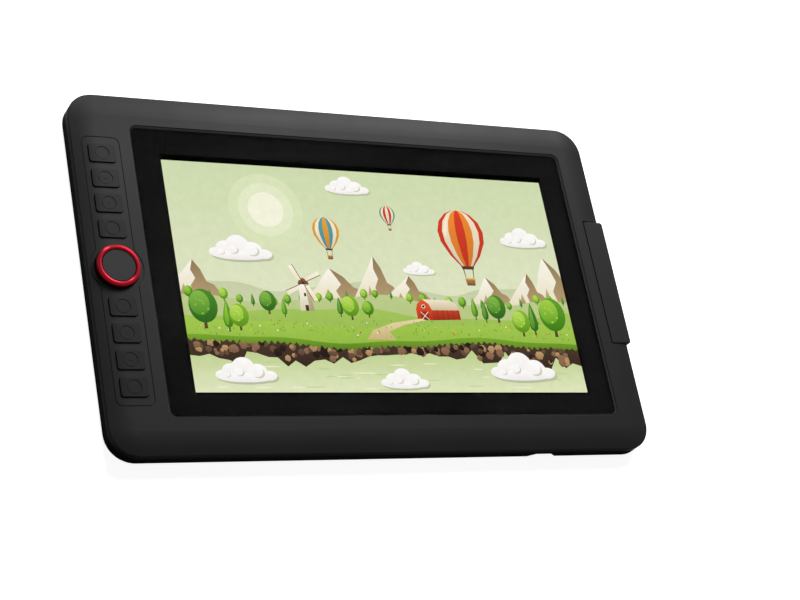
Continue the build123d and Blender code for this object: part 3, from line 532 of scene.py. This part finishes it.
def peak(painting, x, foot, wide, high, lean):
    """A rocky peak with a cream side in the light and a brown side in the shade."""
    top = (x + lean, foot + high)
    right = [(x + wide, foot), (x + wide * 0.72, foot + high * 0.34)]
    right += [(x + wide * 0.5, foot + high * 0.42), (x + wide * 0.3 + lean * 0.4, foot + high * 0.74)]
    left = [(x - wide * 0.3 + lean * 0.6, foot + high * 0.68)]
    left += [(x - wide * 0.55, foot + high * 0.4), (x - wide, foot)]
    painting.paint(right + [top] + left, srgb("b59c74"), srgb("8f7856"))
    fold = [(x + wide * 0.04, foot + high * 0.72), (x + wide * 0.16, foot + high * 0.5)]
    fold += [(x - wide * 0.02, foot + high * 0.3), (x + wide * 0.1, foot)]
    painting.paint([top] + fold + left[::-1], srgb("e6dfc2"), srgb("faf6ea"))
    cut = [(x - wide * 0.42, foot), (x - wide * 0.24, foot + high * 0.36), (x - wide * 0.1, foot)]
    painting.paint(cut, srgb("a68d66"), srgb("c6b188"))


def round_tree(painting, x, y, size, greens):
    """A round tree: trunk, dark crown, lit crown, and spots of light."""
    dark, middle, light = greens
    trunk = [(-0.5, 0), (0.5, 0), (0.3, 4), (-0.3, 4)]
    painting.paint(placed(trunk, x, y, size), srgb(BARK))
    crown = round_shape(x, y + 6.4 * size, 4 * size, 4.8 * size, 22)
    painting.paint(crown, srgb(dark), srgb(middle))
    lit = round_shape(x - 0.9 * size, y + 7.2 * size, 2.8 * size, 3.5 * size, 20)
    painting.paint(lit, srgb(middle), srgb(light))
    for index in range(7):
        turn = 2.4 * index
        reach = 0.75 * (index % 3 + 1)
        spot_x = x + (reach * cos(turn) - 0.6) * size
        spot_y = y + (7 + 1.25 * reach * sin(turn)) * size
        painting.paint(round_shape(spot_x, spot_y, 0.34 * size, 0.34 * size, 8), srgb(light))


def tall_tree(painting, x, y, size, greens):
    """A slim tree: short trunk and a flame-shaped crown in two greens."""
    dark, middle, light = greens
    trunk = [(-0.3, 0), (0.3, 0), (0.3, 2), (-0.3, 2)]
    flame = [(0, 1.2), (1.3, 2.2), (1.7, 4.2), (1.3, 7), (0.6, 9.6)]
    flame += [(0, 11.4), (-0.6, 9.6), (-1.3, 7), (-1.7, 4.2), (-1.3, 2.2)]
    lit = [(-0.1, 2.2), (0.4, 4.2), (0.2, 7), (0, 10.4), (-0.5, 8.8), (-1, 6.6), (-1.3, 4.2), (-0.9, 2.6)]
    painting.paint(placed(trunk, x, y, size), srgb(BARK))
    painting.paint(placed(flame, x, y, size), srgb(dark), srgb(middle))
    painting.paint(placed(lit, x, y, size), srgb(middle), srgb(light))


def gore(share):
    """The outline of a balloon's envelope, as narrow as a share of its width."""
    half = [(0, -10), (2.2, -9.2), (5.2, -5.6), (7.6, -1), (8, 2.6)]
    half += [(6.9, 6), (4.4, 8.6), (1.9, 9.7), (0, 9.9)]
    full = half + [(-a, b) for a, b in half[1:-1][::-1]]
    return [(a * share, b) for a, b in full]


def balloon(painting, x, y, size, colours):
    """A hot-air balloon with striped gores, ropes and a basket."""
    for turn in (-1, 1):
        rope = [(turn * 1.9, -9.4), (turn * 1.5, -9.4), (turn * 1.2, -13.4), (turn * 1.4, -13.4)]
        painting.paint(placed(rope, x, y, size), srgb("6b5238"))
    for share, colour in zip((1.0, 0.8, 0.52, 0.2), colours):
        shaded = [value * 0.72 for value in srgb(colour)]
        painting.paint(placed(gore(share), x, y, size), shaded, srgb(colour))
    shine = [(-5.6, 0), (-5.9, 3), (-4.9, 5.8), (-3.6, 7.6), (-4.1, 5.6), (-4.8, 3)]
    collar = [(-2.3, -9.1), (2.3, -9.1), (1.9, -10.2), (-1.9, -10.2)]
    basket = [(-1.7, -13.2), (1.7, -13.2), (1.4, -15.6), (-1.4, -15.6)]
    rim = [(-1.8, -13), (1.8, -13), (1.8, -13.5), (-1.8, -13.5)]
    painting.paint(placed(shine, x, y, size), srgb("fbe9cf"))
    painting.paint(placed(collar, x, y, size), srgb("5a3c2a"))
    painting.paint(placed(basket, x, y, size), srgb("6d4a2c"), srgb("b98a52"))
    painting.paint(placed(rim, x, y, size), srgb("e2b876"))


def windmill(painting, x, y, size):
    """A tower mill with a dark cap and four sails."""
    tower = [(-3, 0), (3, 0), (2, 11), (-2, 11)]
    shade = [(0.9, 0), (3, 0), (2, 11), (0.7, 11)]
    cap = [(-2.4, 11), (2.4, 11), (1.7, 12.8), (0, 13.8), (-1.7, 12.8)]
    door = [(-0.7, 0), (0.7, 0), (0.7, 2.4), (-0.7, 2.4)]
    window = [(-0.45, 6), (0.45, 6), (0.45, 7.4), (-0.45, 7.4)]
    arm = [(0, -0.14), (8.6, -0.14), (8.6, 0.14), (0, 0.14)]
    sail = [(1.6, 0.14), (8.4, 0.14), (8.4, 1.9), (1.6, 1.5)]
    painting.paint(placed(tower, x, y, size), srgb("d8cfb0"), srgb("fbf7ea"))
    painting.paint(placed(shade, x, y, size), srgb("a99c7c"), srgb("c9bd9a"))
    painting.paint(placed(cap, x, y, size), srgb("6f4a34"), srgb("8f5f40"))
    painting.paint(placed(door, x, y, size), srgb("4a372b"))
    painting.paint(placed(window, x, y, size), srgb("4a372b"))
    hub_y = y + 11.6 * size
    for quarter in range(4):
        turn = 0.42 + quarter * pi / 2
        painting.paint(placed(sail, x, hub_y, size, turn), srgb("eee3c4"), srgb("f8f2de"))
        painting.paint(placed(arm, x, hub_y, size, turn), srgb(BARK))
    painting.paint(round_shape(x, hub_y, 0.6 * size, 0.6 * size, 12), srgb("4a372b"))


def barn(painting, x, y, size):
    """A red barn: a long side, a pale roof, a gable with a round window, and doors with a white cross."""
    side = [(-3, 0), (13, 0.6), (13, 6.2), (-3, 6)]
    roof = [(-3, 5.6), (-4.2, 9), (-7.5, 11.6), (8.6, 11.3), (12, 9), (13.6, 5.8)]
    gable = [(-12, 0), (-3, 0), (-3, 6), (-4.2, 9), (-7.5, 11.6), (-10.8, 9), (-12, 6)]
    door = [(-9.6, 0), (-5.4, 0), (-5.4, 4.8), (-9.6, 4.8)]
    painting.paint(placed(side, x, y, size), srgb("9a2d1c"), srgb("c4452c"))
    for index in range(5):
        near, far = index * 3, index * 3 + 0.24
        joint = [(near, 0.2), (far, 0.2), (far, 5.8), (near, 5.8)]
        painting.paint(placed(joint, x, y, size), srgb("7c2216"))
    painting.paint(placed(roof, x, y, size), srgb("cdbd98"), srgb("efe6cc"))
    painting.paint(placed(gable, x, y, size), srgb("b8321f"), srgb("e65a35"))
    painting.paint(placed(door, x, y, size), srgb("7e2417"), srgb("98301f"))
    for near, far in ((-9.6, -5.4), (-5.4, -9.6)):
        brace = [(near, 0.5), (near, 0), (far, 4.3), (far, 4.8)]
        painting.paint(placed(brace, x, y, size), srgb("f3ead2"))
    for radius, colour in ((1.1, "f3ead2"), (0.75, "3f2a20")):
        pane = round_shape(x - 7.5 * size, y + 7.6 * size, radius * size, radius * size, 14)
        painting.paint(pane, srgb(colour))


def bank(painting, chance):
    """The cut river bank: dark earth with stones set in it, and grass hanging over its edge."""
    width = painting.width
    places = [width * index / BANK_STEPS for index in range(BANK_STEPS + 1)]
    top = [(x, rolling(x, *BANK_TOP)) for x in places]
    depths = []
    for index in range(BANK_STEPS + 1):
        depths.append(4 + 15 * chance.random() ** 0.7 * (0.55 + 0.45 * sin(index * 0.21)))
    low = [(x + 1.5 * (chance.random() - 0.5), y - 4 - depth) for (x, y), depth in zip(top, depths)]
    low[0], low[-1] = (0, low[0][1]), (width, low[-1][1])
    painting.paint(top + low[::-1], srgb("33261f"), srgb("4e3b2f"))
    stone = [(-1, -0.5), (-0.3, -1.0), (0.8, -0.7), (1.1, 0.2), (0.4, 0.9), (-0.7, 0.8)]
    for index in range(BANK_STONES):
        place = 1 + int(chance.random() * (BANK_STEPS - 2))
        x, y = top[place]
        reach = depths[place] * (0.1 + 0.75 * chance.random())
        size = 1.1 + 2.3 * chance.random()
        stone_x = x + 5 * (chance.random() - 0.5)
        outline = placed(stone, stone_x, y - 3 - reach, size, 3 * chance.random())
        outline = [(min(max(a, 0.2), width - 0.2), b) for a, b in outline]
        low_colour, high_colour = STONES[index % len(STONES)]
        painting.paint(outline, srgb(low_colour), srgb(high_colour))
    tips = BANK_STEPS * 3
    fringe = [(x, y + 0.6) for x, y in top]
    for index in range(tips, -1, -1):
        x = width * index / tips
        drop = (3.6 if index % 2 else 1.7) + 1.4 * chance.random()
        fringe.append((x, rolling(x, *BANK_TOP) - drop))
    painting.paint(fringe, srgb("56801f"), srgb("7ba832"))


def meadow(painting, chance):
    """Grass strokes and small flowers on the near field."""
    for index in range(BLADES):
        x = 2 + (painting.width - 4) * chance.random()
        y = 39 + 13 * chance.random()
        blade = [(-0.5, 0), (0.5, 0), (0.9 * (chance.random() - 0.5), 1.6 + chance.random())]
        colour = ("5f8c24", "a9cb54", "86b33a")[index % 3]
        painting.paint(placed(blade, x, y, 0.8), srgb(colour))
    for index in range(FLOWERS):
        x = 4 + (painting.width - 8) * chance.random()
        y = 39.5 + 11 * chance.random()
        colour = ("f7f3e4", "f0c23c", "d8452c")[index % 3]
        painting.paint(round_shape(x, y, 0.55, 0.55, 7), srgb(colour))


def lake(painting, chance):
    """Pale water below the bank, with ripples."""
    shore = [(0, -1), (painting.width, -1), (painting.width, 34), (0, 34)]
    painting.paint(shore, srgb("dfe6bf"), srgb("b9cc86"))
    for index in range(RIPPLES):
        x = 12 + (painting.width - 24) * chance.random()
        y = 1.5 + 20 * chance.random()
        wide = 3 + 7 * chance.random()
        painting.paint(round_shape(x, y, wide, 0.32, 12), srgb(("eef2da", "bccd90")[index % 2]))


def speckle(painting, chance):
    """Brush spatter over the sky."""
    for index in range(SPECKS):
        x = 1 + (painting.width - 2) * chance.random()
        y = 84 + (painting.height - 86) * chance.random()
        size = 0.16 + 0.3 * chance.random() ** 2
        painting.paint(round_shape(x, y, size, size, 6), srgb(("e6eacb", "c2d0a2")[index % 2]))


# Place, half width, height and lean of each peak, and the level that all stand on
PEAKS_FOOT = 66
PEAKS = (
    (8, 22, 27, 3),
    (112, 26, 24, -3),
    (142, 19, 34, 2),
    (165, 20, 20, 4),
    (232, 18, 21, -2),
    (285, 24, 38, -4),
    (262, 18, 25, 3),
)

# Place and size of each cloud in the sky and in the water
SKY_CLOUDS = ((46, 99, 1.0), (178, 90, 0.55), (134, 151, 0.75), (268, 116, 0.85))
LAKE_CLOUDS = ((36, 12, 0.95), (150, 7, 0.8), (244, 15, 1.15))

# Place, size, kind and greens of each tree that stands by itself
FIELD_TREES = (
    (60, 55, 1.5, round_tree, 1),
    (71, 53, 1.2, tall_tree, 0),
    (112, 54, 1.3, tall_tree, 1),
    (120, 52, 1.6, round_tree, 2),
    (133, 54, 1.1, round_tree, 0),
    (216, 54, 1.5, tall_tree, 0),
    (224, 52, 1.5, tall_tree, 1),
    (234, 52, 1.9, round_tree, 1),
)
NEAR_TREES = (
    (14, 44, 2.5, round_tree, 1),
    (30, 42, 2.0, tall_tree, 0),
    (38, 43, 1.7, round_tree, 2),
    (262, 43, 2.2, tall_tree, 1),
    (252, 42, 1.8, round_tree, 2),
    (279, 42, 2.7, round_tree, 0),
)

# Place and size of each balloon, and its colours from the outer gores to the middle one
BALLOONS = (
    (218, 116, 2.3, ("d8402a", "f2e6c8", "ee8a34", "d8402a")),
    (112, 116, 1.25, ("e9a23a", "f6efd2", "5f9fa8", "e9a23a")),
    (162, 132, 0.75, ("5a9a8e", "f4eccf", "d8402a", "f4eccf")),
)


def paint_sky(painting, chance):
    """The sky, its sun and clouds, and the far peaks."""
    width, height = painting.width, painting.height
    sheet = [(0, 0), (width, 0), (width, height), (0, height)]
    painting.paint(sheet, srgb("eaeacf"), srgb("cddaae"))
    sun(painting, 70, 132)
    speckle(painting, chance)
    land(painting, HAZE_HILLS, "d3d8b4", "c6cfa6")
    for x, wide, high, lean in PEAKS:
        peak(painting, x, PEAKS_FOOT, wide, high, lean)
    for place in SKY_CLOUDS:
        cloud(painting, *place)


def paint_fields(painting, chance):
    """The hills, fields and trees, the mill, the barn and the track to it."""
    land(painting, FAR_HILLS, "a5bb6c", "bccb8a")
    for index in range(FAR_TREES):
        x = 4 + index * 11.3 + 5 * chance.random()
        size = 0.55 + 0.3 * chance.random()
        kind = tall_tree if index % 3 == 1 else round_tree
        kind(painting, x, rolling(x, *FAR_TREES_FOOT), size, GREENS[index % 3])
    land(painting, FIELD, "7fa63c", "a3c45c")
    windmill(painting, 88, 58, 1.75)
    barn(painting, 186, 53, 1.35)
    for x, y, size, kind, leaf in FIELD_TREES:
        kind(painting, x, y, size, GREENS[leaf])
    land(painting, NEAR_FIELD, "6f9c2c", "a2c850")
    track = [(128, 38), (150, 38), (146, 44), (158, 49), (176, 53), (172, 54), (150, 50.5), (134, 45)]
    painting.paint(track, srgb("c9b27c"), srgb("e6d6a6"))
    meadow(painting, chance)
    for x, y, size, kind, leaf in NEAR_TREES:
        kind(painting, x, y, size, GREENS[leaf])


def paint_landscape():
    """A river valley with balloons, a mill and a barn: generic, in the colours of a picture-book."""
    painting = Painting(PICTURE_WIDTH / MM, PICTURE_HEIGHT / MM)
    chance = Random(PICTURE_SEED)
    paint_sky(painting, chance)
    paint_fields(painting, chance)
    lake(painting, chance)
    bank(painting, chance)
    for place in LAKE_CLOUDS:
        cloud(painting, *place)
    for place in BALLOONS:
        balloon(painting, *place)
    return painting.mesh("picture")


def make_picture():
    """The lit picture on the display cell."""
    mesh = paint_landscape()
    mesh.transform(Matrix.Translation(PICTURE_MIDDLE + Vector((0, 0, PICTURE_LIFT))))
    mesh.materials.append(display_light())
    picture = add_object("picture", mesh)
    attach(picture, "tablet")


make_picture()


def make_lip():
    """The polished bevel round the screen, a hair above the frame's own; its gloss is real, its lighter colour
    a painted highlight.
    """
    made = bmesh.new()
    bmesh.ops.create_grid(made, x_segments=1, y_segments=1, size=0.5)
    reach = 2 * (LIP_OUT - LIP_HAIR)
    bmesh.ops.scale(made, vec=(WINDOW_WIDTH + reach, WINDOW_DEPTH + reach, 1), verts=made.verts)
    bmesh.ops.bevel(
        made,
        geom=made.verts[:],
        affect="VERTICES",
        offset=WINDOW_ROUND + LIP_OUT,
        segments=10,
        profile=0.5,
        material=-1,
    )
    inner = made.faces[:]
    bmesh.ops.inset_region(made, faces=inner, thickness=LIP_OUT, use_even_offset=True, use_boundary=True)
    for vertex in inner[0].verts:
        vertex.co.z -= LIP_DROP
    bmesh.ops.delete(made, geom=inner, context="FACES")
    bmesh.ops.translate(made, vec=(WINDOW_MIDDLE.x, WINDOW_MIDDLE.y, LIP_TOP), verts=made.verts)
    mesh = bpy.data.meshes.new("window_lip")
    made.to_mesh(mesh)
    made.free()
    mesh.materials.append(FINISHES["lip_plastic"])
    lip = add_object("window_lip", mesh)
    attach(lip, "tablet")


make_lip()


def soft_lamp(name, place, aim, size, watts):
    """A rectangular soft light."""
    data = bpy.data.lights.new(name, "AREA")
    data.shape = "RECTANGLE"
    data.size, data.size_y = size
    data.energy = watts
    lamp = add_object(name, data)
    lamp.location = place
    lamp.rotation_mode = "QUATERNION"
    lamp.rotation_quaternion = (Vector(aim) - Vector(place)).to_track_quat("-Z", "Y")


def seen_directly(tree, *others):
    """1 for what the camera and the other named rays see, and 0 for the light that falls on things."""
    path = add_node(tree, "ShaderNodeLightPath")
    total = path.outputs["Is Camera Ray"]
    for name in others:
        larger = add_node(tree, "ShaderNodeMath", operation="MAXIMUM")
        tree.links.new(total, larger.inputs[0])
        tree.links.new(path.outputs[name], larger.inputs[1])
        total = larger.outputs["Value"]
    return total


def light_world():
    """A plain pale world: it fills the shadows softly, and shows white."""
    world = bpy.data.worlds.new("pale")
    world.use_nodes = True
    tree = world.node_tree
    tree.nodes.clear()
    fill = add_node(tree, "ShaderNodeBackground", Color=(1, 1, 1, 1), Strength=WORLD_FILL)
    shown = add_node(tree, "ShaderNodeBackground", Color=(1, 1, 1, 1), Strength=1.0)
    mix = add_node(tree, "ShaderNodeMixShader")
    output = add_node(tree, "ShaderNodeOutputWorld")
    tree.links.new(seen_directly(tree, "Is Transmission Ray", "Is Glossy Ray"), mix.inputs[0])
    tree.links.new(fill.outputs[0], mix.inputs[1])
    tree.links.new(shown.outputs[0], mix.inputs[2])
    tree.links.new(mix.outputs[0], output.inputs["Surface"])
    bpy.context.scene.world = world


def floor_finish():
    """Glows pale to the camera and through glass, shows matte to gloss, and throws little light back."""
    shading = Shading("pale_floor")
    dull = shading.node("ShaderNodeBsdfDiffuse", Color=(*grey(FLOOR_DULL), 1))
    matte = shading.node("ShaderNodeBsdfDiffuse", Color=(*grey(FLOOR_MATTE), 1))
    glow = shading.node("ShaderNodeEmission", Color=(1, 1, 1, 1))
    strength = shading.node("ShaderNodeMath", operation="MULTIPLY")
    strength.inputs[1].default_value = FLOOR_GLOW
    both = shading.node("ShaderNodeAddShader")
    mix = shading.node("ShaderNodeMixShader")
    shading.link(seen_directly(shading.tree, "Is Transmission Ray"), strength.inputs[0])
    shading.link(strength.outputs[0], glow.inputs["Strength"])
    shading.link(seen_directly(shading.tree, "Is Transmission Ray", "Is Glossy Ray"), mix.inputs[0])
    shading.link(dull.outputs[0], mix.inputs[1])
    shading.link(matte.outputs[0], mix.inputs[2])
    shading.link(mix.outputs[0], both.inputs[0])
    shading.link(glow.outputs[0], both.inputs[1])
    shading.surface(both.outputs[0])
    return shading.material


def make_floor():
    """A wide pale floor under the feet."""
    made = bmesh.new()
    bmesh.ops.create_grid(made, x_segments=1, y_segments=1, size=FLOOR_REACH)
    mesh = bpy.data.meshes.new("floor")
    made.to_mesh(mesh)
    made.free()
    mesh.transform(Matrix.Translation((0, 0, -FLOOR_SINK)))
    mesh.materials.append(floor_finish())
    floor = add_object("floor", mesh)


light_world()
make_floor()
soft_lamp("back_lamp", place=(0.84, 1.3, 1.28), aim=(0, 0, 0), size=(0.5, 0.9), watts=52)
soft_lamp("dial_lamp", place=(-0.15, 1.6, 0.8), aim=(-0.18, 0, 0), size=(0.2, 0.2), watts=22)
